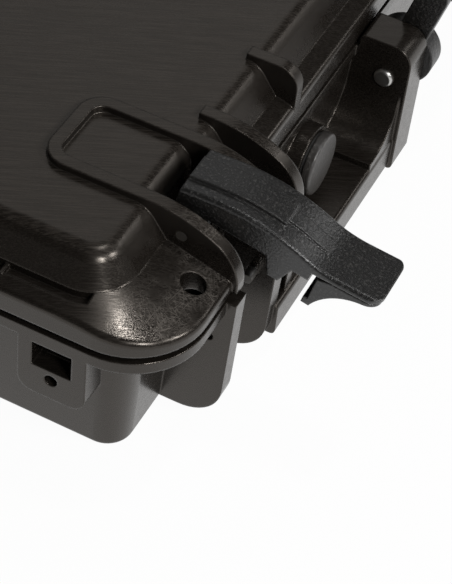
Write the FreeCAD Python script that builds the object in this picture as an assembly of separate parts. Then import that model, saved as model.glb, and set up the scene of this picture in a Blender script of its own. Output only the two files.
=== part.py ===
"""Hard transport case: two moulded shells, rear hinge pins, two trigger latches, front handle and vent.

Millimetres. The origin is the centre of the face that the case rests on, +Z is up and the front is -Y.
"""
import FreeCAD, Part
import math
import os

V = FreeCAD.Vector

# Overall sizes
case_width = 520.0
case_depth = 380.0
base_height = 62.0
seam_gap = 3.0
lid_height = 23.0
corner_radius = 28.0
wall = 3.5
ear_projection = 21.5
ear_setback = 4.0
overrun = 1.0
running_clearance = 0.05
body_clearance = 0.4

# Lower shell
flange_height = 5.0
side_inset = 13.0
front_inset = 4.0
base_corner_radius = 10.0
base_draft = 3.0
base_bottom_fillet = 2.0

# Lid
shelf_slope_share = 0.287
shelf_width = 10.0
front_shelf_width = 8.0
shelf_reach = 32.0
plateau_wall_run = 8.0
plateau_wall_height = 11.0
plateau_top_fillet = 8.0
plateau_radius = 17.0
rim_fillet = 2.5
gutter_width = 4.0
gutter_depth = 3.0
gutter_start = 38.0
gutter_web_inset = 68.0
gutter_web = 1.5
lid_lip_width = 14.0
lid_cavity_run = 7.0
lid_strip_height = 6.0
front_rib_inset = 135.0
front_rib_radius = 8.0

# Gasket
gasket_inset = 2.0
gasket_width = 4.0
gasket_groove = 2.0

# Latch bay, its ribs on the lid and its fins on the lower shell
latch_inset = 65.0
bay_width = 28.0
rib_thickness = 5.0
rib_height = 2.7
loop_length = 42.0
loop_radius = 10.0
bay_depth = 37.5
bay_round = 8.0
rib_front_setback = 2.0
rib_foot_height = 4.0
side_rib_gap = 9.0
fin_thickness = 7.5
fin_bottom = 1.0
fin_setback = 0.5
fin_taper = 2.0
fin_radius = 16.0

# Latch lever, along its own length from the pivot; offsets are square to that length
pivot_inset = 24.0
pivot_height = 16.0
pivot_pin_radius = 2.0
lever_width = 23.0
lever_length = 68.0
lever_droop = 12.0
latch_swing = 60.0
lever_heel = 8.0
heel_offset = 11.5
crown_along = 20.0
crown_offset = 18.4
crown_radius = 70.0
waist_along = 47.0
waist_offset = 11.0
waist_radius = 40.0
paddle_end_offset = 13.0
paddle_plate = 2.2
paddle_corner_radius = 5.0
lever_plate = 3.0
lever_wall = 2.5
wall_offset = 5.0
wall_end = 43.0
lever_edge_radius = 1.6
hub_radius = 5.0
claw_start = 27.0
claw_end = 37.0
claw_tip_width = 4.0
claw_tip_offset = -3.0
band_width = 11.0
band_height = 1.3
band_end = 28.0
ridge_width = 6.0
ridge_height = 0.8
ridge_end = 44.0

# Keeper pegs and trigger
peg_radius = 2.0
peg_length = 5.0
peg_recess = 2.5
peg_along = 41.0
peg_offset = 1.6
trigger_pin_radius = 1.25
trigger_pin_grip = 3.0
trigger_pivot_along = 50.0
trigger_pivot_offset = 7.0
lug_radius = 3.5
lug_thickness = 3.4
lug_clearance = 1.4
hook_clearance = 1.0
hook_lip = 1.6
hook_lip_offset = -3.1
hook_thickness = 2.6
hook_width = 3.0
shoulder_offset = 7.5
scoop_along = 53.0
scoop_offset = 3.6
scoop_end_offset = 8.8
spring_room = 5.2
spring_wire = 0.7
spring_turns = 3
spring_pitch = 1.5
spring_gap = 0.35

# Padlock bores and side bosses
padlock_diameter = 9.0
padlock_from_rib = 9.5
padlock_inset = 14.0
boss_inset = 46.0
boss_width = 26.0
boss_height = 31.0
boss_radius = 6.0
pocket_width = 15.0
pocket_height = 11.0
pocket_depth = 7.0
pocket_top = 1.0
boss_screw_diameter = 5.0
boss_screw_depth = 6.0
boss_screw_below = 4.6

# Hinges
hinge_offset = 6.5
hinge_spacing = 300.0
knuckle_radius = 4.5
knuckle_middle = 24.0
knuckle_side = 12.0
hinge_pin_radius = 2.0

# Handle
handle_span = 110.0
handle_ear = 16.0
handle_ear_proud = 1.5
handle_ear_rise = 6.0
handle_lift = 165.0
handle_pivot_drop = 10.0
handle_pivot_reach = 13.0
handle_arm_width = 9.0
handle_arm_depth = 12.0
handle_length = 32.0
handle_pin_radius = 2.5
handle_pin_head = 4.0
handle_pin_head_height = 1.5
pin_head_land = 0.3
handle_hub_radius = 13.4
handle_ear_radius = 8.0
grip_radius = 9.0
grip_core_radius = 5.5
grip_end_gap = 1.5

# Vent
vent_radius = 12.5
vent_cap_height = 3.5
vent_thread_radius = 6.0
vent_boss_radius = 14.0
vent_place_share = 0.48
vent_height_share = 0.515
vent_boss_proud = 8.5
vent_nut_width = 17.0
vent_nut_height = 4.0
vent_seal_height = 1.2
vent_bore_radius = 2.5
vent_membrane_height = 0.6

# Guard bar between the latch fins and the handle ear, and the fairing where it runs up into that ear
guard_low = 9.0
guard_top_share = 0.387
guard_radius = 2.0
fairing_share = 0.229
fairing_rise_share = 0.905
fairing_land = 3.0
fairing_step = 3.0
fairing_setback = 0.5

# Worked out
half_width = case_width / 2
half_depth = case_depth / 2
ear_front = -half_depth
rim_front = ear_front + ear_projection
rim_rear = half_depth
lid_bottom = base_height + seam_gap
plateau_top = lid_bottom + lid_height
plateau_base = plateau_top - plateau_wall_height
latch_x = half_width - latch_inset
bay_half = bay_width / 2
loop_half = bay_half + rib_thickness
ear_inner = latch_x + bay_half
rib_top = plateau_top + rib_height
pivot_y = ear_front + pivot_inset
pivot_z = lid_bottom + pivot_height
hinge_y = rim_rear + hinge_offset
hinge_z = base_height + seam_gap / 2
bay_back = ear_front + bay_depth
flange_low = base_height - flange_height
side_rib_near = latch_x - loop_half - side_rib_gap
handle_ear_x = handle_span / 2 + handle_ear
handle_y = rim_front - handle_pivot_reach
handle_z = base_height - handle_pivot_drop
vent_x = handle_ear_x + vent_place_share * (side_rib_near - handle_ear_x)
guard_top = base_height * guard_top_share
vent_z = guard_top + vent_height_share * (flange_low - guard_top)


def corner_path(points, radii, place):
    """A closed wire through the points, each corner rounded by its radius (zero keeps it sharp)."""
    count = len(points)
    starts, ends, mids = [], [], []
    for i in range(count):
        here = V(points[i][0], points[i][1], 0)
        before = (V(points[i - 1][0], points[i - 1][1], 0) - here).normalize()
        after = (V(points[(i + 1) % count][0], points[(i + 1) % count][1], 0) - here).normalize()
        radius = radii[i]
        straight = (before + after).Length < 1e-6
        if radius == 0 or straight:
            starts.append(here)
            ends.append(here)
            mids.append(None)
            continue
        half = before.getAngle(after) / 2
        back = radius / math.tan(half)
        bisector = (before + after).normalize()
        starts.append(here + before * back)
        ends.append(here + after * back)
        mids.append(here + bisector * (radius / math.sin(half) - radius))
    edges = []
    for i in range(count):
        if mids[i] is not None:
            edges.append(Part.Arc(place(starts[i]), place(mids[i]), place(ends[i])).toShape())
        follow = starts[(i + 1) % count]
        if (follow - ends[i]).Length > 1e-6:
            edges.append(Part.LineSegment(place(ends[i]), place(follow)).toShape())
    return Part.Wire(edges)


def plan_wire(points, radii, z):
    return corner_path(points, radii, lambda p: V(p.x, p.y, z))


def rectangle_wire(x0, x1, y0, y1, radius, z):
    points = [(x0, y0), (x1, y0), (x1, y1), (x0, y1)]
    return plan_wire(points, [radius] * len(points), z)


def plan_solid(wire, height):
    return Part.Face(wire).extrude(V(0, 0, height))


def side_solid(points, radii, x0, x1):
    """A profile in the Y-Z plane, drawn out along X."""
    wire = corner_path(points, radii, lambda p: V(x0, p.x, p.y))
    return Part.Face(wire).extrude(V(x1 - x0, 0, 0))


def block(x0, x1, y0, y1, z0, z1):
    return Part.makeBox(x1 - x0, y1 - y0, z1 - z0, V(x0, y0, z0))


def rod_x(radius, x0, x1, y, z):
    return Part.makeCylinder(radius, x1 - x0, V(x0, y, z), V(1, 0, 0))


def rod_y(radius, x, y0, y1, z):
    return Part.makeCylinder(radius, y1 - y0, V(x, y0, z), V(0, 1, 0))


def frustum(wires):
    return Part.makeLoft(wires, True, True)


def mirrored(shape):
    return shape.mirror(V(0, 0, 0), V(1, 0, 0))


def fused(shapes):
    return shapes[0].multiFuse(shapes[1:]).removeSplitter()


def edges_at_height(shape, z):
    return [e for e in shape.Edges if abs(e.BoundBox.ZMin - z) < 1e-4 and abs(e.BoundBox.ZMax - z) < 1e-4]


def rim_wire(inset, z):
    """The rim outline with its two front ears, moved inward by an inset."""
    side = half_width - inset
    front = ear_front + ear_setback + inset
    step = ear_inner + inset
    points = [(-side, rim_rear - inset), (-side, front), (-step, front), (-step, rim_front + inset),
              (step, rim_front + inset), (step, front), (side, front), (side, rim_rear - inset)]
    big = corner_radius - inset
    return plan_wire(points, [big, big, 0, 0, 0, 0, big, big], z)


def inner_wire(inset, z):
    """The plain rounded rectangle behind the ears, moved inward by an inset."""
    side = half_width - inset
    return rectangle_wire(-side, side, rim_front + inset, rim_rear - inset, corner_radius - inset, z)


def both_sides(shape):
    return [shape, mirrored(shape)]


def latch_frame(shape):
    """Turn a latch piece from its own frame to its open place on the left latch."""
    placed = shape.copy()
    placed.rotate(V(0, 0, 0), V(1, 0, 0), lever_droop)
    placed.translate(V(-latch_x, pivot_y, pivot_z))
    return placed


def base_wall_wire(inset, z, share):
    """The drafted wall of the lower shell: share runs from 0 at the bottom to 1 under the flange."""
    out = base_draft * share
    side = half_width - side_inset + out - inset
    front = rim_front + front_inset - out + inset
    rear = rim_rear - side_inset + out - inset
    radius = base_corner_radius + out - inset
    return rectangle_wire(-side, side, front, rear, radius, z)


def base_fin(x0, x1):
    wall_y = rim_front + front_inset + overrun
    points = [(wall_y, base_height), (wall_y, fin_bottom), (ear_front + fin_setback + fin_taper, fin_bottom),
              (ear_front + fin_setback, base_height)]
    return side_solid(points, [0, 0, fin_radius, 0], x0, x1)


def side_boss():
    """The plate on the side wall that holds the pocket and the screw hole."""
    y0 = ear_front + boss_inset - boss_width / 2
    y1 = y0 + boss_width
    low = base_height - boss_height
    points = [(y0, base_height - flange_height / 2), (y0, low), (y1, low), (y1, base_height - flange_height / 2)]
    plate = side_solid(points, [0, boss_radius, boss_radius, 0], -half_width, -half_width + side_inset + overrun)
    middle = (y0 + y1) / 2
    top = flange_low - pocket_top
    pocket = block(-half_width - overrun, -half_width + pocket_depth, middle - pocket_width / 2,
                   middle + pocket_width / 2, top - pocket_height, top)
    screw = rod_x(boss_screw_diameter / 2, -half_width - overrun, -half_width + boss_screw_depth,
                  middle, top - pocket_height - boss_screw_below)
    return plate.cut(pocket).cut(screw)


def knuckle(x0, x1, y_from, z0, z1):
    """One hinge knuckle with the arm that joins it to a rim."""
    arm = block(x0, x1, y_from, hinge_y, z0, z1)
    return rod_x(knuckle_radius, x0, x1, hinge_y, hinge_z).fuse(arm)


def hinge_side_starts():
    middle = hinge_spacing / 2
    near = knuckle_middle / 2 + body_clearance
    return [middle - near - knuckle_side, middle + near]


def handle_ear_solid():
    """A thick ear for the handle pin; above the flange it stands clear of the lid."""
    wall_y = rim_front + front_inset + overrun
    front = ear_front - handle_ear_proud
    clear = rim_front - overrun
    low = guard_low - overrun
    top = base_height + handle_ear_rise
    points = [(wall_y, base_height), (wall_y, low), (front, low), (front, top), (clear, top), (clear, base_height)]
    radii = [0, 0, guard_radius, handle_ear_radius, guard_radius, 0]
    return side_solid(points, radii, -handle_ear_x, -handle_ear_x + handle_ear)


def guard_bar():
    back = rim_front + front_inset + overrun
    points = [(back, guard_top), (back, guard_low), (ear_front, guard_low), (ear_front, guard_top)]
    return side_solid(points, [0, 0, guard_radius, guard_radius], -latch_x + loop_half, -handle_ear_x + overrun)


def ear_fairing():
    """A hollow sweep from the top of the guard bar up the outside of the handle ear."""
    front = ear_front + fairing_setback
    low = guard_top + fairing_step
    start = -handle_ear_x - fairing_share * (side_rib_near - handle_ear_x)
    foot = start + fairing_land
    run = -handle_ear_x - foot
    high = low + fairing_rise_share * (handle_z - handle_pin_head - low)
    near = 1 - math.sin(math.pi / 4)
    bend = V(-handle_ear_x - near * run, front, low + near * (high - low))
    buried = -handle_ear_x + overrun
    bottom = guard_low + guard_radius
    corners = [V(x, front, z) for x, z in (
        (-handle_ear_x, high), (buried, high), (buried, bottom), (start, bottom), (start, low), (foot, low))]
    edges = [Part.LineSegment(a, b).toShape() for a, b in zip(corners, corners[1:])]
    edges.append(Part.Arc(corners[-1], bend, corners[0]).toShape())
    return Part.Face(Part.Wire(edges)).extrude(V(0, rim_front + front_inset - front, 0))


def lower_shell():
    outer = frustum([base_wall_wire(0, 0, 0), base_wall_wire(0, flange_low, 1)])
    outer = outer.makeFillet(base_bottom_fillet, edges_at_height(outer, 0))
    flange = plan_solid(rim_wire(0, flange_low), flange_height)
    near_rib = [-latch_x - bay_half - fin_thickness, -latch_x - bay_half]
    far_rib = [-latch_x + bay_half, -latch_x + bay_half + fin_thickness]
    guard_rib = [-side_rib_near, -side_rib_near + rib_thickness]
    additions = [base_fin(a, b) for a, b in (near_rib, far_rib, guard_rib)]
    additions += [side_boss(), handle_ear_solid(), guard_bar(), ear_fairing()]
    for start in hinge_side_starts():
        additions.append(knuckle(-start - knuckle_side, -start, rim_rear - wall, flange_low, base_height))
    vent_boss = rod_y(vent_boss_radius, -vent_x, rim_front - vent_boss_proud + vent_cap_height,
                      rim_front + front_inset + overrun, vent_z)
    solid = fused([outer, flange, vent_boss] + [s for a in additions for s in both_sides(a)])
    cavity = frustum([base_wall_wire(wall, wall, 0), base_wall_wire(wall, flange_low, 1)])
    cavity = cavity.makeFillet(base_bottom_fillet, edges_at_height(cavity, wall))
    mouth = plan_solid(base_wall_wire(wall, flange_low, 1), flange_height + overrun)
    cuts = [cavity.fuse(mouth)]
    cuts.append(rod_y(vent_thread_radius + running_clearance, -vent_x, ear_front, rim_front + shelf_reach, vent_z))
    peg_reach = bay_half + fin_thickness
    for side in (-1, 1):
        bore_x = side * (latch_x + loop_half + padlock_from_rib)
        cuts.append(Part.makeCylinder(padlock_diameter / 2, base_height, V(bore_x, ear_front + padlock_inset, 0)))
        ear_x = side * handle_ear_x
        cuts.append(rod_x(handle_pin_radius, min(ear_x, ear_x - side * handle_span / 2),
                          max(ear_x, ear_x - side * handle_span / 2), handle_y, handle_z))
        peg_y, peg_z = keeper_place()
        cuts.append(rod_x(peg_radius, side * latch_x - peg_reach, side * latch_x + peg_reach, peg_y, peg_z))
        hinge_x = side * hinge_spacing / 2
        reach = knuckle_middle / 2 + knuckle_side
        cuts.append(rod_x(hinge_pin_radius, hinge_x - reach, hinge_x + reach, hinge_y, hinge_z))
    return solid.cut(Part.makeCompound(cuts))


def keeper_place():
    """The keeper pegs stand where the closed lever's gap between claw and hook comes to rest."""
    angle = math.radians(lever_droop + latch_swing)
    y = pivot_y - peg_along * math.cos(angle) - peg_offset * math.sin(angle)
    z = pivot_z - peg_along * math.sin(angle) + peg_offset * math.cos(angle)
    return y, z


def lid_rib(x0, x1, inner):
    """A guard rib that runs over the front edge of the lid in a quarter ellipse."""
    front = ear_front + rib_front_setback
    foot = lid_bottom + rib_foot_height
    shoulder = rim_front + front_shelf_width + plateau_wall_run
    reach = shoulder - front
    rise = rib_top - foot
    start = V(x0, shoulder, rib_top)
    middle = V(x0, shoulder - reach * math.sin(math.pi / 4), foot + rise * math.sin(math.pi / 4))
    upper = V(x0, shoulder - reach * math.sin(math.pi / 8), foot + rise * math.cos(math.pi / 8))
    lower = V(x0, shoulder - reach * math.cos(math.pi / 8), foot + rise * math.sin(math.pi / 8))
    end = V(x0, front, foot)
    arcs = [Part.Arc(start, upper, middle).toShape(), Part.Arc(middle, lower, end).toShape()]
    corners = [end, V(x0, front, lid_bottom), V(x0, inner, lid_bottom), V(x0, inner, rib_top), start]
    lines = [Part.LineSegment(a, b).toShape() for a, b in zip(corners, corners[1:])]
    return Part.Face(Part.Wire(arcs + lines)).extrude(V(x1 - x0, 0, 0))


def plateau_wire(inset, z):
    side = half_width - shelf_width - inset
    return rectangle_wire(-side, side, rim_front + front_shelf_width + inset, rim_rear - shelf_width - inset,
                          plateau_radius - inset, z)


def faces_upright(face):
    u0, u1, v0, v1 = face.ParameterRange
    return abs(face.normalAt((u0 + u1) / 2, (v0 + v1) / 2).z) < 1e-6


def rounded_rim(body):
    """Round the edge where the sloping shelf meets the upright rim."""
    edges = []
    for edge in body.Edges:
        upright = [f for f in body.ancestorsOfType(edge, Part.Face) if faces_upright(f)]
        if edge.BoundBox.ZMin > lid_bottom + overrun and len(upright) == 1:
            edges.append(edge)
    return body.makeFillet(rim_fillet, edges)


def lid_outer():
    """Rim with a sloping shelf, and the raised plateau with a rounded top edge."""
    shelf_low = plateau_base - shelf_reach * shelf_slope_share
    slope = frustum([plateau_wire(-shelf_reach, shelf_low), plateau_wire(0, plateau_base)])
    skirt = plan_solid(plateau_wire(-shelf_reach, lid_bottom), shelf_low - lid_bottom)
    rim = plan_solid(rim_wire(0, lid_bottom), lid_height)
    plateau = frustum([plateau_wire(0, plateau_base), plateau_wire(plateau_wall_run, plateau_top)])
    plateau = plateau.makeFillet(plateau_top_fillet, edges_at_height(plateau, plateau_top))
    body = fused([rounded_rim(slope.fuse(skirt).common(rim).Solids[0]), plateau])
    floor = plateau_base - gutter_depth
    gutter = plan_solid(plateau_wire(-gutter_width, floor), lid_height)
    gutter = gutter.cut(plan_solid(plateau_wire(0, floor), lid_height))
    behind = block(-half_width, half_width, ear_front + gutter_start, rim_rear, lid_bottom, plateau_top)
    return body.cut(gutter.common(behind).cut(plateau))


def gutter_webs():
    """A small web across the gutter on each side."""
    y = ear_front + gutter_web_inset
    x0 = -half_width + shelf_width - gutter_width - overrun
    x1 = -half_width + shelf_width + overrun
    return both_sides(block(x0, x1, y, y + gutter_web, plateau_base - gutter_depth - overrun,
                            plateau_base - gutter_width * shelf_slope_share))


def loop_rib():
    """The U-shaped rib on the plateau behind the left latch."""
    low = plateau_top - overrun
    end = bay_back + loop_length
    outer = rectangle_wire(-latch_x - loop_half, -latch_x + loop_half, bay_back, end, loop_radius, low)
    front = block(-latch_x - loop_half, -latch_x + loop_half, bay_back, bay_back + loop_radius, low, rib_top)
    inner = rectangle_wire(-latch_x - bay_half, -latch_x + bay_half, bay_back - loop_radius,
                           end - rib_thickness, loop_radius - rib_thickness, low - overrun)
    height = rib_top - low
    ring = plan_solid(outer, height).fuse(front)
    return ring.cut(plan_solid(inner, height + 2 * overrun))


def front_rib():
    """An upright rib on the lid's front edge."""
    back = bay_back + rib_thickness
    points = [(rim_front, lid_bottom), (rim_front, rib_top), (back, rib_top), (back, lid_bottom)]
    x0 = -half_width + front_rib_inset
    return side_solid(points, [0, front_rib_radius, 0, 0], x0 - rib_thickness, x0)


def lid_cavity():
    front = bay_back + wall
    wires = []
    for inset, z in ((0, lid_bottom), (lid_cavity_run, plateau_top - wall)):
        side = half_width - lid_lip_width - inset
        wires.append(rectangle_wire(-side, side, front + inset, rim_rear - lid_lip_width - inset,
                                    plateau_radius - lid_cavity_run, z))
    return frustum(wires)


def gasket_ring(low, high):
    outer = plan_solid(inner_wire(gasket_inset, low), high - low)
    return outer.cut(plan_solid(inner_wire(gasket_inset + gasket_width, low), high - low))


def lid_shell():
    rib_back = bay_back + rib_thickness
    near = lid_rib(-latch_x - loop_half, -latch_x - bay_half, rib_back)
    far = lid_rib(-latch_x + bay_half, -latch_x + loop_half, rib_back)
    guard = lid_rib(-side_rib_near, -side_rib_near + rib_thickness, rib_back)
    low, high = lid_bottom + lid_strip_height, rib_top + overrun
    deep = bay_back + bay_round + overrun
    bay_points = [(ear_front - overrun, low), (bay_back, low), (bay_back, plateau_top), (deep, plateau_top),
                  (deep, high), (ear_front - overrun, high)]
    bay = side_solid(bay_points, [0, 0, bay_round, 0, 0, 0], -latch_x - bay_half, -latch_x + bay_half)
    hinge = knuckle(-hinge_spacing / 2 - knuckle_middle / 2, -hinge_spacing / 2 + knuckle_middle / 2,
                    rim_rear - wall, lid_bottom, lid_bottom + flange_height)
    pieces = [s for a in (near, far, guard, loop_rib(), front_rib(), hinge) for s in both_sides(a)]
    solid = fused([lid_outer()] + pieces + gutter_webs())
    cuts = both_sides(bay)
    cuts.append(lid_cavity())
    cuts.append(gasket_ring(lid_bottom, lid_bottom + gasket_groove))
    for side in (-1, 1):
        bore_x = side * (latch_x + loop_half + padlock_from_rib)
        cuts.append(Part.makeCylinder(padlock_diameter / 2, lid_height, V(bore_x, ear_front + padlock_inset, lid_bottom)))
        cuts.append(rod_x(pivot_pin_radius, side * latch_x - loop_half, side * latch_x + loop_half, pivot_y, pivot_z))
        hinge_x = side * hinge_spacing / 2
        cuts.append(rod_x(hinge_pin_radius + running_clearance, hinge_x - knuckle_middle, hinge_x + knuckle_middle,
                          hinge_y, hinge_z))
    for cut in cuts:
        solid = solid.cut(cut)
    return solid


def lever_profile(drop, corners, half):
    """A solid under the lever's arched face, lowered by a drop, closed through (along, offset) corners."""
    face = [(-lever_heel, heel_offset), (crown_along, crown_offset), (waist_along, waist_offset),
            (lever_length, paddle_end_offset)]
    points = [(along, offset - drop) for along, offset in face] + corners
    radii = [0, crown_radius, waist_radius, 0] + [0] * len(corners)
    return side_solid([(-along, offset) for along, offset in points], radii, -half, half)


def lever_plan(half, end, low, high):
    """The lever seen from above, with the rounded corners of the paddle."""
    points = [(-half, lever_length), (-half, -end), (half, -end), (half, lever_length)]
    wire = plan_wire(points, [0, paddle_corner_radius, paddle_corner_radius, 0], low)
    return plan_solid(wire, high - low)


def lever_bar(width, start, end, rise):
    """A raised bar along the middle of the lever's face."""
    half = width / 2
    reach = lever_profile(-rise, [(lever_length, wall_offset), (-lever_heel, wall_offset)], half)
    return reach.common(block(-half, half, -end, -start, wall_offset, crown_offset + band_height + overrun))


def latch_lever():
    """Arched channel: face plate, side walls with claws, pivot hub, thin paddle and lugs for the trigger."""
    half = lever_width / 2
    inside = half - lever_wall
    under = waist_offset - paddle_plate
    claw_middle = (claw_start + claw_end) / 2
    corners = [(lever_length, paddle_end_offset - paddle_plate), (wall_end, under), (wall_end, wall_offset),
               (claw_end, wall_offset), (claw_middle + claw_tip_width / 2, claw_tip_offset),
               (claw_middle - claw_tip_width / 2, claw_tip_offset), (claw_start, wall_offset),
               (-lever_heel, wall_offset)]
    body = lever_profile(0, corners, half)
    rims = [e for e in body.Edges if e.BoundBox.XLength < overrun and e.CenterOfMass.z > paddle_end_offset - paddle_plate]
    body = body.makeFillet(lever_edge_radius, [e for e in rims if e.BoundBox.YLength > lever_edge_radius])
    body = body.common(lever_plan(half, lever_length, claw_tip_offset - overrun, crown_offset + overrun))
    deep = -hub_radius - overrun
    hollow = [(lever_length, deep), (-lever_heel, deep)]
    channel = lever_profile(lever_plate, hollow, inside)
    channel = channel.common(block(-inside, inside, -wall_end, lever_heel, deep, crown_offset))
    bars = [lever_bar(band_width, -lever_heel, band_end, band_height),
            lever_bar(ridge_width, band_end - overrun, ridge_end, ridge_height)]
    pieces = [body.multiFuse(bars).cut(channel), rod_x(hub_radius, -half, half, 0, 0)]
    hub_web = block(-half, half, -hub_radius, hub_radius, 0, wall_offset + overrun)
    pieces.append(hub_web.cut(block(-inside, inside, -hub_radius, hub_radius, 0, wall_offset + overrun)))
    for side in (-1, 1):
        middle = side * (spring_room + lug_thickness) / 2
        x0, x1 = middle - lug_thickness / 2, middle + lug_thickness / 2
        pieces.append(rod_x(lug_radius, x0, x1, -trigger_pivot_along, trigger_pivot_offset))
        pieces.append(block(x0, x1, -trigger_pivot_along - lug_radius, -trigger_pivot_along + lug_radius,
                            trigger_pivot_offset, under + paddle_plate / 2))
    body = fused(pieces)
    body = body.cut(rod_x(pivot_pin_radius + running_clearance, -half - overrun, half + overrun, 0, 0))
    return body.cut(rod_x(trigger_pin_radius, -half, half, -trigger_pivot_along, trigger_pivot_offset))


def trigger_pin_half():
    return spring_room / 2 + lug_thickness + trigger_pin_grip


def latch_trigger():
    """Squeezed trigger: two cheeks with hooks that clear the keeper pegs, joined by a scooped finger plate."""
    half = lever_width / 2
    along = trigger_pivot_along
    lip = math.hypot(peg_along, peg_offset) + peg_radius + hook_clearance
    throat = lip + hook_lip
    end = lever_length - body_clearance
    rise_share = (paddle_end_offset - waist_offset) / (lever_length - wall_end)
    top = waist_offset - paddle_plate - body_clearance
    top_at_pin = top + rise_share * (along - wall_end)
    top_at_end = top + rise_share * (end - wall_end)
    toe = hook_lip_offset - hook_thickness
    start = V(0, -lip - hook_width, toe)
    scoop = Part.Arc(start, V(0, -scoop_along, scoop_offset), V(0, -end, scoop_end_offset)).toShape()
    corners = [(end, scoop_end_offset), (end, top_at_end), (along, top_at_pin), (throat, shoulder_offset),
               (throat, hook_lip_offset), (lip, hook_lip_offset), (lip, toe), (lip + hook_width, toe)]
    points = [V(0, -a, o) for a, o in corners]
    edges = [scoop] + [Part.LineSegment(a, b).toShape() for a, b in zip(points, points[1:])]
    body = Part.Face(Part.Wire(edges)).extrude(V(2 * half, 0, 0))
    body.translate(V(-half, 0, 0))
    body = body.common(lever_plan(half, end, toe - overrun, crown_offset))
    slot = spring_room / 2 + lug_thickness + body_clearance
    reach = lug_radius + lug_clearance
    body = body.cut(block(-slot, slot, -along - reach, -along + reach, trigger_pivot_offset - lug_radius - body_clearance,
                          crown_offset))
    grip = trigger_pin_half() + body_clearance
    return body.cut(rod_x(trigger_pin_radius + running_clearance, -grip, grip, -along, trigger_pivot_offset))


def trigger_spring():
    radius = trigger_pin_radius + spring_gap + spring_wire / 2
    length = spring_pitch * spring_turns
    path = Part.makeHelix(spring_pitch, length, radius)
    ring = Part.Wire(Part.makeCircle(spring_wire / 2, V(radius, 0, 0), V(0, 1, 0)))
    coil = Part.Wire(path).makePipeShell([ring], True, True)
    print("trigger spring gap between turns", round(spring_pitch - spring_wire, 2))
    coil.rotate(V(0, 0, 0), V(0, 1, 0), 90)
    coil.translate(V(-length / 2, -trigger_pivot_along, trigger_pivot_offset))
    return coil


def keeper_pegs():
    y, z = keeper_place()
    outer = bay_half + fin_thickness - peg_recess
    near = rod_x(peg_radius, -latch_x - outer, -latch_x - bay_half + peg_length, y, z)
    far = rod_x(peg_radius, -latch_x + bay_half - peg_length, -latch_x + outer, y, z)
    return Part.makeCompound([near, far])


def lifted(shape):
    """Swing a handle piece up from its folded place."""
    raised = shape.copy()
    raised.rotate(V(0, handle_y, handle_z), V(-1, 0, 0), handle_lift)
    return raised


def handle_frame():
    """Two arms with round hubs and a core bar, drawn folded down in front of the lower shell."""
    outside = handle_span / 2 - body_clearance
    inside = outside - handle_arm_width
    half = handle_arm_depth / 2
    low = handle_z - handle_length
    points = [(handle_y - half, handle_z), (handle_y - half, low - half), (handle_y + half, low - half),
              (handle_y + half, handle_z)]
    arm = side_solid(points, [0, half - running_clearance, half - running_clearance, 0], -outside, -inside)
    hub = rod_x(handle_hub_radius, -outside, -inside, handle_y, handle_z)
    core = rod_x(grip_core_radius, -inside - half, inside + half, handle_y, low)
    body = fused(both_sides(arm) + both_sides(hub) + [core])
    return body.cut(rod_x(handle_pin_radius + running_clearance, -outside, outside, handle_y, handle_z))


def handle_grip():
    inside = handle_span / 2 - body_clearance - handle_arm_width - grip_end_gap
    low = handle_z - handle_length
    sleeve = rod_x(grip_radius, -inside, inside, handle_y, low)
    ends = [e for e in sleeve.Edges if e.BoundBox.XLength < 1e-4]
    sleeve = sleeve.makeFillet(grip_radius - grip_core_radius - grip_end_gap / 2, ends)
    return sleeve.cut(rod_x(grip_core_radius, -half_width, half_width, handle_y, low))


def handle_pin():
    outer = -handle_ear_x
    shank = rod_x(handle_pin_radius, outer, outer + handle_ear + body_clearance + handle_arm_width, handle_y, handle_z)
    head = rod_x(handle_pin_head, outer - handle_pin_head_height, outer, handle_y, handle_z)
    ends = [e for e in head.Edges if e.BoundBox.XLength < 1e-4 and e.BoundBox.XMin < outer - running_clearance]
    head = head.makeFillet(handle_pin_head_height - pin_head_land, ends)
    return shank.fuse(head).removeSplitter()


def vent_pieces():
    seat = rim_front - vent_boss_proud + vent_cap_height
    nut_seat_share = (vent_z - vent_nut_width / 2) / flange_low
    inner = rim_front + front_inset - base_draft * nut_seat_share + wall + body_clearance / 2
    tail = inner + vent_nut_height + overrun
    front = seat - vent_seal_height
    body = rod_y(vent_thread_radius, -vent_x, front, tail, vent_z)
    body = body.cut(rod_y(vent_bore_radius, -vent_x, front, tail, vent_z))
    seal = rod_y(vent_radius - overrun, -vent_x, front, seat, vent_z)
    seal = seal.cut(rod_y(vent_thread_radius, -vent_x, front, seat, vent_z))
    membrane = rod_y(vent_bore_radius, -vent_x, front, front + vent_membrane_height, vent_z)
    cap = rod_y(vent_radius, -vent_x, front - vent_cap_height, front, vent_z)
    rim = [e for e in cap.Edges if e.BoundBox.YLength < 1e-4 and e.BoundBox.YMin < front - running_clearance]
    cap = cap.makeFillet(overrun, rim)
    corners = []
    for i in range(6):
        angle = math.radians(60 * i)
        across = vent_nut_width / 2 / math.cos(math.radians(30))
        corners.append(V(-vent_x + across * math.cos(angle), inner, vent_z + across * math.sin(angle)))
    nut = Part.Face(Part.makePolygon(corners + corners[:1])).extrude(V(0, vent_nut_height, 0))
    nut = nut.cut(rod_y(vent_thread_radius, -vent_x, inner, tail, vent_z))
    return {"vent_body": body, "vent_seal": seal, "vent_membrane": membrane, "vent_cap": cap, "vent_nut": nut}


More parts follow.
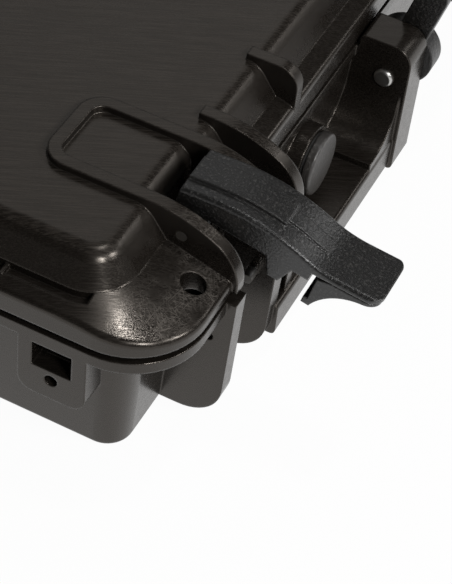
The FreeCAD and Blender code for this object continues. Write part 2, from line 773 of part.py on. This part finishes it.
def build_nodes():
    nodes = {"lower_shell": lower_shell(), "lid_shell": lid_shell()}
    nodes["lid_gasket"] = gasket_ring(base_height + body_clearance, lid_bottom + gasket_groove)
    reach = knuckle_middle / 2 + knuckle_side
    pieces = {
        "hinge_pin": rod_x(hinge_pin_radius, -hinge_spacing / 2 - reach, -hinge_spacing / 2 + reach, hinge_y, hinge_z),
        "latch_pivot_pin": rod_x(pivot_pin_radius, -latch_x - loop_half, -latch_x + loop_half, pivot_y, pivot_z),
        "latch_lever": latch_frame(latch_lever()),
        "latch_trigger": latch_frame(latch_trigger()),
        "trigger_pin": latch_frame(rod_x(trigger_pin_radius, -trigger_pin_half(), trigger_pin_half(),
                                         -trigger_pivot_along, trigger_pivot_offset)),
        "trigger_spring": latch_frame(trigger_spring()),
        "keeper_pegs": keeper_pegs(),
    }
    for name, shape in pieces.items():
        nodes[name + "_left"] = shape
        nodes[name + "_right"] = mirrored(shape)
    nodes["handle_frame"] = lifted(handle_frame())
    nodes["handle_grip"] = lifted(handle_grip())
    nodes["handle_pins"] = Part.makeCompound(both_sides(handle_pin()))
    nodes.update(vent_pieces())
    return nodes


os.makedirs("parts", exist_ok=True)
for node, shape in build_nodes().items():
    print(node, len(shape.Solids), shape.isValid(), round(shape.Volume))
    shape.exportStep("parts/" + node + ".step")
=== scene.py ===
# %% [markdown]
# A hard transport case, seen close to its open front latch.
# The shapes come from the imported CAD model, which this script loads as a fixed frame in metres.
# What is left to do here is the finish of each piece, the light and the camera.

# %% Load the frame
import math

import bpy
from mathutils import Matrix, Vector


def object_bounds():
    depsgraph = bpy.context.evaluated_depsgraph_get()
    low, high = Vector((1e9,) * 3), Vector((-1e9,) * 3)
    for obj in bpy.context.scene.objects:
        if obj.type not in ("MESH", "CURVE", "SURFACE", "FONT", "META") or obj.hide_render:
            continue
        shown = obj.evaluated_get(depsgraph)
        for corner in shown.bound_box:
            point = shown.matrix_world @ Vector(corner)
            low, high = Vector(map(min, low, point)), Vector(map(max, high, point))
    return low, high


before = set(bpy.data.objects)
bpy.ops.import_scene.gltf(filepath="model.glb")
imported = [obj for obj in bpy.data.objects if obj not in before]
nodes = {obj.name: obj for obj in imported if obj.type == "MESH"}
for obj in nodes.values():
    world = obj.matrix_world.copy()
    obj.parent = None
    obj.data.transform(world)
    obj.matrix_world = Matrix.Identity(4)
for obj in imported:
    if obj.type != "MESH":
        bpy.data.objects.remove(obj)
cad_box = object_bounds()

print("pieces in the frame:", len(nodes), "box:", [[round(c, 3) for c in corner] for corner in cad_box])

# %% [markdown]
# Shader maths gets long when every node is made and wired by hand.
# A small class that wraps a socket lets a mask read as a formula: `1 - grain * 0.5` adds its own Math
# nodes.
# Colours go through Mix nodes, because a Math node would turn them grey.
# A Mix node has a set of sockets for each kind of data, so the ones for colours are picked by number.

# %% Socket wrapper
mix_share, mix_low, mix_high, mix_result = 0, 6, 7, 2


class Finish:
    """The node tree of a material or of the world, with a single method that adds any node."""

    def __init__(self, owner, shader="Principled BSDF"):
        owner.use_nodes = True
        self.owner = owner
        self.tree = owner.node_tree
        self.shader = self.tree.nodes[shader]

    def node(self, kind, settings=None, inputs=None, output=0):
        """Add a node: its settings are set first, then the values or links of its sockets."""
        made = self.tree.nodes.new(kind)
        for key, value in (settings or {}).items():
            setattr(made, key, value)
        for key, value in (inputs or {}).items():
            self.feed(made.inputs[key], value)
        return Value(self, made.outputs[output])

    def feed(self, socket, value):
        """Link a socket to a Value, or set it to a plain number or colour."""
        if isinstance(value, Value):
            self.tree.links.new(value.socket, socket)
        else:
            socket.default_value = value

    def set(self, **inputs):
        """Give the shader its inputs; Base_Color stands for the socket Base Color."""
        for key, value in inputs.items():
            self.feed(self.shader.inputs[key.replace("_", " ")], value)

    def mix(self, share, low, high):
        """Blend two colours by a share from 0 to 1."""
        return self.node("ShaderNodeMix", {"data_type": "RGBA"},
                         {mix_share: share, mix_low: low, mix_high: high}, mix_result)


class Value:
    """A socket that takes part in sums."""

    def __init__(self, finish, socket):
        self.finish = finish
        self.socket = socket

    def math(self, operation, first, second):
        return self.finish.node("ShaderNodeMath", {"operation": operation}, {0: first, 1: second})

    def __add__(self, other):
        return self.math("ADD", self, other)

    __radd__ = __add__

    def __mul__(self, other):
        return self.math("MULTIPLY", self, other)

    __rmul__ = __mul__

    def __sub__(self, other):
        return self.math("SUBTRACT", self, other)

    def __rsub__(self, other):
        return self.math("SUBTRACT", other, self)

    def __abs__(self):
        return self.math("ABSOLUTE", self, 0.0)

    def clamp(self):
        return self.finish.node("ShaderNodeClamp", None, {"Value": self})

    def over(self, low, high):
        """A share that runs from 0 at low to 1 at high; low may be the larger of the two."""
        return self.finish.node("ShaderNodeMapRange", {"interpolation_type": "SMOOTHSTEP"},
                                {"Value": self, "From Min": low, "From Max": high})


def new_finish(name):
    return Finish(bpy.data.materials.new(name))


print("helper classes:", Finish.__name__, Value.__name__)

# %% [markdown]
# Moulded plastic is never one flat colour. It has a fine grain from the mould, pale scratches where it has
# been knocked, and a smoother skin where hands and floors have rubbed it.
# Each is a noise pattern in object space, so it stays on the piece from every side.

# %% Patterns
def place(finish, scale=(1.0, 1.0, 1.0), turn=0.0):
    """Coordinates on the piece in metres, turned about the vertical and then stretched by a scale."""
    coordinates = finish.node("ShaderNodeTexCoord", output="Object")
    turned = finish.node("ShaderNodeVectorRotate", {"rotation_type": "Z_AXIS"},
                         {"Vector": coordinates, "Angle": turn})
    return finish.node("ShaderNodeVectorMath", {"operation": "MULTIPLY"}, {0: turned, 1: scale})


def noise(finish, vector, scale, detail=4.0, distortion=0.0):
    return finish.node("ShaderNodeTexNoise", None,
                       {"Vector": vector, "Scale": scale, "Detail": detail, "Distortion": distortion})


def streaks(finish, turn, across, lengthwise, low, high):
    """Long thin marks: a noise squeezed across one direction and drawn out along it."""
    vector = place(finish, (lengthwise, across, across), turn)
    return noise(finish, vector, 1.0, detail=3.0).over(low, high)


scratch_scale = (95.0, 3000.0, 1200.0)
scratch_bend = 0.3
scratch_low, scratch_high = 0.58, 0.69


def scratches(finish, turns):
    """Short pale scratches that cross each other, a little bent: one set of marks for each direction."""
    sets = []
    for turn in turns:
        vector = place(finish, scratch_scale, math.radians(turn))
        sets.append(noise(finish, vector, 1.0, 2.0, scratch_bend).over(scratch_low, scratch_high))
    return sum(sets[1:], sets[0]).clamp()


print("patterns:", noise.__name__, streaks.__name__, scratches.__name__)

# %% [markdown]
# Wear depends on where a point lies and which way its face looks. The Bevel node gives a normal that is
# rounded near an edge, which makes sharp CAD edges catch the light. Where it leans away from the face, the
# edge is worn; on the shells its paler colour is partly wear and partly a painted highlight.

# %% Places and edges
bevel_samples = 8
lean_low, lean_high = 0.02, 0.25
up_low, up_high = 0.80, 0.92


def along(finish, axis):
    """How far a point lies along X, Y or Z of its piece, in metres."""
    return finish.node("ShaderNodeSeparateXYZ", None, {"Vector": place(finish)}, output=axis)


def facing_up(finish):
    """A share that is 1 on faces that look up when the lid is shut."""
    normal = finish.node("ShaderNodeTexCoord", output="Normal")
    return finish.node("ShaderNodeSeparateXYZ", None, {"Vector": normal}, output="Z").over(up_low, up_high)


def rounded_edges(finish, radius):
    """A softened normal for small edges, and a share near 1 where it leans away from the face."""
    rounded = finish.node("ShaderNodeBevel", {"samples": bevel_samples}, {"Radius": radius})
    face = finish.node("ShaderNodeNewGeometry", output="Normal")
    lean = finish.node("ShaderNodeVectorMath", {"operation": "DOT_PRODUCT"}, {0: rounded, 1: face}, "Value")
    return rounded, (1 - lean).over(lean_low, lean_high)


def bump(finish, height, distance, strength, normal=None):
    """A normal tilted by a height map, starting from the normal given."""
    inputs = {"Height": height, "Distance": distance, "Strength": strength}
    if normal is not None:
        inputs["Normal"] = normal
    return finish.node("ShaderNodeBump", None, inputs)


print("edges: Bevel with", bevel_samples, "samples")

# %% [markdown]
# The two shells are one warm, near-black resin. The flat top has a brushed, wood-like grain that runs
# across the lid at an angle. The ears beside the latches stick out, so they are covered in scratches, and
# the lid's front corners are rubbed smooth. The front shoulder of the raised top is duller. These places
# are given in metres on the lid.

# %% Where the shells are worn
ear_back, ear_front = -0.158, -0.172
ear_inner, ear_outer = 0.196, 0.208
ear_low, ear_high = 0.0655, 0.0680
shelf_top, plateau_low = 0.0790, 0.0840
shoulder_outer, shoulder_inner = 0.238, 0.227
corner_side, corner_front = 0.2520, -0.1685
rub_core, rub_reach = 0.003, 0.011


def shell_places(finish):
    """Shares that mark the scratched ears, the flat top, its shoulder and the rubbed corners."""
    side, front, height = abs(along(finish, "X")), along(finish, "Y"), along(finish, "Z")
    up = facing_up(finish)
    ear = front.over(ear_back, ear_front) * side.over(ear_inner, ear_outer) * height.over(ear_low, ear_high)
    raised = height.over(shelf_top, plateau_low)
    shoulder = raised * (1 - up) * side.over(shoulder_outer, shoulder_inner)
    aside, ahead = side - corner_side, front - corner_front
    rubbed = (aside * aside + ahead * ahead).over(rub_reach ** 2, rub_core ** 2)
    return ear, up, raised * up, shoulder, rubbed * up


print("ears beyond", ear_inner, "m from the middle, rubbed corners at", (corner_side, corner_front))

# %% [markdown]
# The grain changes colour, roughness and relief together, as real marks do. The scratches are pale lines
# with a little depth. A few lie outside the ears too. The edges take a little of the same pale colour, partly
# as wear and partly as a painted highlight.

# %% Shell plastic
grain_turn = math.radians(63.0)
fine_grain = {"across": 2600.0, "lengthwise": 60.0, "low": 0.35, "high": 0.70}
broad_grain = {"across": 500.0, "lengthwise": 25.0, "low": 0.40, "high": 0.65}
scratch_turns = (8.0, 35.0, 62.0, 84.0, 118.0, 150.0)
stray_share = 0.06
cloud_scale = 14.0
patch_scale, patch_low, patch_high = 70.0, 0.30, 0.58
shell_edge = 0.0010

resin_dark = (0.0046, 0.0036, 0.0028, 1)
resin_light = (0.0086, 0.0070, 0.0057, 1)
grain_pale = (0.048, 0.041, 0.035, 1)
# Pale colour of the scratches, also used on the shell edges, where it is partly a painted highlight.
scratch_and_highlight_pale = (0.150, 0.135, 0.120, 1)
warm_shine = (1.0, 0.90, 0.80, 1.0)
grain_tint, top_tint = 0.10, 0.32
# The edge share of the pale colour is partly edge wear and partly a painted highlight.
scratch_tint, edge_wear_and_highlight_tint = 0.50, 0.06

resin_rough = 0.19
cloud_rough, broad_rough, fine_rough = 0.05, 0.04, 0.08
ear_rough, shoulder_rough, rubbed_gloss = 0.05, 0.14, 0.17
fine_relief, broad_relief, scratch_relief = 0.12, 0.04, 0.45
shell_depth, shell_relief = 0.00010, 0.40


def shell_finish():
    finish = new_finish("shell_plastic")
    fine = streaks(finish, grain_turn, **fine_grain)
    broad = streaks(finish, grain_turn, **broad_grain)
    cloud = noise(finish, place(finish), cloud_scale)
    patchy = noise(finish, place(finish), patch_scale).over(patch_low, patch_high)
    rounded, edge_wear_and_highlight = rounded_edges(finish, shell_edge)
    ear, up, plateau, shoulder, rubbed = shell_places(finish)
    where = stray_share + ear * (1 - stray_share)
    marks = (scratches(finish, scratch_turns) * patchy * up * where).clamp()

    colour = finish.mix(cloud, resin_dark, resin_light)
    colour = finish.mix(fine * (grain_tint + plateau * top_tint), colour, grain_pale)
    # Pale scratches plus paler edges; the edge part is partly wear and partly a painted highlight.
    worn = (marks * scratch_tint + edge_wear_and_highlight * edge_wear_and_highlight_tint).clamp()
    rough = resin_rough + cloud * cloud_rough + broad * broad_rough + fine * fine_rough
    rough = rough + ear * up * ear_rough + shoulder * shoulder_rough - rubbed * patchy * rubbed_gloss
    relief = fine * fine_relief + broad * broad_relief - marks * scratch_relief
    finish.set(Base_Color=finish.mix(worn, colour, scratch_and_highlight_pale), Roughness=rough, Specular_Tint=warm_shine,
               Normal=bump(finish, relief, shell_depth, shell_relief, rounded))
    return finish.owner


finishes = {"shell_plastic": shell_finish()}
print("made", *finishes)

# %% [markdown]
# The levers, triggers, handle and vent are a grainier black. Fine pale specks and worn edges lift them off
# the shell.

# %% Grainy plastics
speck_low, speck_high = 0.52, 0.72
matte_cloud = 30.0
matte_edge = 0.001
matte_shine = 0.6
wear_tint, cloud_tint, speck_tint = 0.35, 0.08, 0.60
cloud_dull, wear_gloss, speck_gloss = 0.10, 0.08, 0.06
matte_depth, matte_relief = 0.00030, 0.60


def matte_finish(name, colour, worn, rough, grain_scale):
    finish = new_finish(name)
    grain = noise(finish, place(finish), grain_scale, detail=3.0)
    cloud = noise(finish, place(finish), matte_cloud)
    rounded, wear = rounded_edges(finish, matte_edge)
    speckle = grain.over(speck_low, speck_high)
    pale = (wear * wear_tint + cloud * cloud_tint + speckle * speck_tint).clamp()
    finish.set(Base_Color=finish.mix(pale, colour, worn), Specular_IOR_Level=matte_shine,
               Roughness=rough + cloud * cloud_dull - wear * wear_gloss - speckle * speck_gloss,
               Normal=bump(finish, grain, matte_depth, matte_relief, rounded))
    return finish.owner


grainy_plastics = {  # colour, colour where worn, roughness, scale of the grain
    "lever_plastic": ((0.005, 0.0048, 0.0045, 1), (0.07, 0.067, 0.064, 1), 0.28, 1100.0),
    "trigger_plastic": ((0.005, 0.0048, 0.0045, 1), (0.06, 0.058, 0.055, 1), 0.36, 1100.0),
    "handle_plastic": ((0.005, 0.0046, 0.0042, 1), (0.06, 0.056, 0.052, 1), 0.36, 900.0),
    "vent_plastic": ((0.026, 0.0235, 0.0215, 1), (0.09, 0.084, 0.078, 1), 0.34, 700.0),
}
for name, looks in grainy_plastics.items():
    finishes[name] = matte_finish(name, *looks)
print("made", *grainy_plastics)

# %% [markdown]
# The seals and the grip are dull rubber. The pins and springs are plain turned steel, and the vent holds a
# pale membrane.

# %% Rubber, steel and membrane
rubber_pale = (0.045, 0.043, 0.041, 1)
rubber_cloud, rubber_grain = 80.0, 700.0
rubber_rough, rubber_vary = 0.62, 0.15
rubber_depth, rubber_relief = 0.0001, 0.4
steel_dark, steel_pale = (0.42, 0.41, 0.40, 1), (0.62, 0.61, 0.59, 1)
steel_marks, steel_vary = (900.0, 60.0, 60.0), 0.12
membrane_dark, membrane_pale = (0.50, 0.49, 0.47, 1), (0.62, 0.61, 0.59, 1)
membrane_weave, membrane_rough = 1400.0, 0.8
membrane_depth, membrane_relief = 0.00008, 0.5


def rubber_finish(name, colour):
    finish = new_finish(name)
    cloud = noise(finish, place(finish), rubber_cloud)
    grain = noise(finish, place(finish), rubber_grain)
    finish.set(Base_Color=finish.mix(cloud, colour, rubber_pale), Roughness=rubber_rough + cloud * rubber_vary,
               Normal=bump(finish, grain, rubber_depth, rubber_relief))
    return finish.owner


def steel_finish(name, rough):
    finish = new_finish(name)
    turned = noise(finish, place(finish, steel_marks), 1.0, detail=2.0)
    finish.set(Base_Color=finish.mix(turned, steel_dark, steel_pale), Metallic=1.0,
               Roughness=rough + turned * steel_vary)
    return finish.owner


def membrane_finish(name):
    finish = new_finish(name)
    weave = noise(finish, place(finish), membrane_weave)
    finish.set(Base_Color=finish.mix(weave, membrane_dark, membrane_pale), Roughness=membrane_rough,
               Normal=bump(finish, weave, membrane_depth, membrane_relief))
    return finish.owner


finishes["grip_rubber"] = rubber_finish("grip_rubber", (0.016, 0.015, 0.014, 1))
finishes["gasket_rubber"] = rubber_finish("gasket_rubber", (0.010, 0.010, 0.010, 1))
finishes["pin_steel"] = steel_finish("pin_steel", 0.25)
finishes["spring_steel"] = steel_finish("spring_steel", 0.3)
finishes["vent_membrane"] = membrane_finish("vent_membrane")
print("finishes in all:", len(finishes))

# %% [markdown]
# Each piece comes with a slot that names its material. The finish of the same name takes that slot.

# %% Dress the pieces
for name, piece in nodes.items():
    slot = piece.material_slots[0].material.name.split(".")[0]
    piece.data.materials.clear()
    piece.data.materials.append(finishes[slot])
    print(name, slot)

# %% [markdown]
# Black plastic shows its form through what it mirrors. Here the white floor does most of the work: upright
# faces mirror it at a flat angle and turn pale, while the top mirrors the dim room and stays dark.
# So the floor glows a plain white for camera and mirror rays, and keeps a share of ordinary paper for the
# shadow.

# %% Floor
floor_size = 12.0
glow_share = 0.95
paper_white = (0.9, 0.9, 0.9, 1)
paper_rough = 0.9
bpy.ops.mesh.primitive_plane_add(size=floor_size, location=(0.0, 0.0, cad_box[0][2]))
floor = bpy.context.object
floor.name = "studio_floor"
paper = new_finish("studio_paper")
paper.set(Base_Color=paper_white, Roughness=paper_rough)
camera_ray, glossy_ray, transmission_ray = [
    paper.node("ShaderNodeLightPath", output=ray)
    for ray in ("Is Camera Ray", "Is Glossy Ray", "Is Transmission Ray")]
seen = (camera_ray + glossy_ray + transmission_ray).clamp()
glow = paper.node("ShaderNodeEmission", None, {"Color": (1, 1, 1, 1), "Strength": 1.0})
plain = Value(paper, paper.shader.outputs[0])
surface = paper.node("ShaderNodeMixShader", None, {0: seen * glow_share, 1: plain, 2: glow})
paper.tree.links.new(surface.socket, paper.tree.nodes["Material Output"].inputs["Surface"])
floor.data.materials.append(paper.owner)
print("floor", floor_size, "m, glow share", glow_share)

# %% [markdown]
# A wide, weak panel behind the case is what the flat top mirrors. Smaller lamps around the near corner put
# highlights on the rounded corners and edges.

# %% Lamps
def soft_lamp(name, azimuth, elevation, distance, size, power, aim):
    """A square lamp that looks at a point from a direction given by azimuth, counted from the front, and
    elevation.
    """
    lamp = bpy.data.lights.new(name, "AREA")
    lamp.size = size
    lamp.energy = power
    holder = bpy.data.objects.new(name, lamp)
    bpy.context.scene.collection.objects.link(holder)
    turn, lift = math.radians(azimuth), math.radians(elevation)
    outward = Vector((math.sin(turn) * math.cos(lift), -math.cos(turn) * math.cos(lift), math.sin(lift)))
    holder.location = aim + outward * distance
    holder.rotation_euler = (-outward).to_track_quat("-Z", "Y").to_euler()


middle = (Vector(cad_box[0]) + Vector(cad_box[1])) / 2
corner = Vector((cad_box[0][0], cad_box[0][1], cad_box[1][2]))
lamps = {  # azimuth and elevation in degrees, distance and size in metres, power in watts, aim
    "back_panel": (113.0, 46.0, 2.0, 1.05, 2.0, middle),
    "corner_lamp": (-34.0, 43.0, 1.4, 0.28, 11.0, corner),
    "top_lamp": (77.0, 75.0, 1.4, 0.12, 2.6, corner),
    "side_lamp": (56.0, 33.0, 1.6, 0.36, 2.0, corner),
    "rim_lamp": (10.0, 40.0, 1.4, 0.34, 8.5, corner),
}
for name, setting in lamps.items():
    soft_lamp(name, *setting)
print("lamps:", *lamps)

# %% [markdown]
# The room has pale walls and a dark ceiling, so faces that lean back turn black.

# %% Room
wall_colour = (0.22, 0.22, 0.22, 1)
ceiling_colour = (0.035, 0.035, 0.035, 1)
ceiling_start = 0.65
room = Finish(bpy.data.worlds.new("studio_room"), "Background")
outlook = room.node("ShaderNodeTexCoord", output="Generated")
rise_of_view = room.node("ShaderNodeSeparateXYZ", None, {"Vector": outlook}, output="Z")
room.set(Color=room.mix(rise_of_view.over(0.0, ceiling_start), wall_colour, ceiling_colour))
bpy.context.scene.world = room.owner
print("walls", wall_colour[0], "ceiling", ceiling_colour[0])

# %% [markdown]
# The camera stands where the photographer stood: near the front left corner, looking down at it, a little
# tilted.

# %% Camera
photo_height = 584
focal_pixels = 1943.0
view_turn = math.radians(68.59)
view_drop = math.radians(47.01)
view_roll = math.radians(7.28)
view_distance = 0.6641
view_target = Vector((-0.2040, -0.1802, 0.0526))
nearest_seen = 0.01

forward = Vector((math.sin(view_turn) * math.cos(view_drop), math.cos(view_turn) * math.cos(view_drop),
                  -math.sin(view_drop)))
level = Vector((math.cos(view_turn), -math.sin(view_turn), 0.0))
rise = level.cross(forward)
right = level * math.cos(view_roll) + rise * math.sin(view_roll)
upward = rise * math.cos(view_roll) - level * math.sin(view_roll)

camera_data = bpy.data.cameras.new("photo_camera")
camera_data.sensor_fit = "VERTICAL"
camera_data.lens = focal_pixels * camera_data.sensor_height / photo_height
camera_data.clip_start = nearest_seen
camera = bpy.data.objects.new("photo_camera", camera_data)
bpy.context.scene.collection.objects.link(camera)
axes = Matrix((right, upward, -forward)).transposed().to_4x4()
camera.matrix_world = Matrix.Translation(view_target - forward * view_distance) @ axes
bpy.context.scene.camera = camera
bpy.context.scene.view_settings.view_transform = "Standard"
print("camera at", [round(c, 3) for c in camera.location], "lens", round(camera_data.lens, 1))
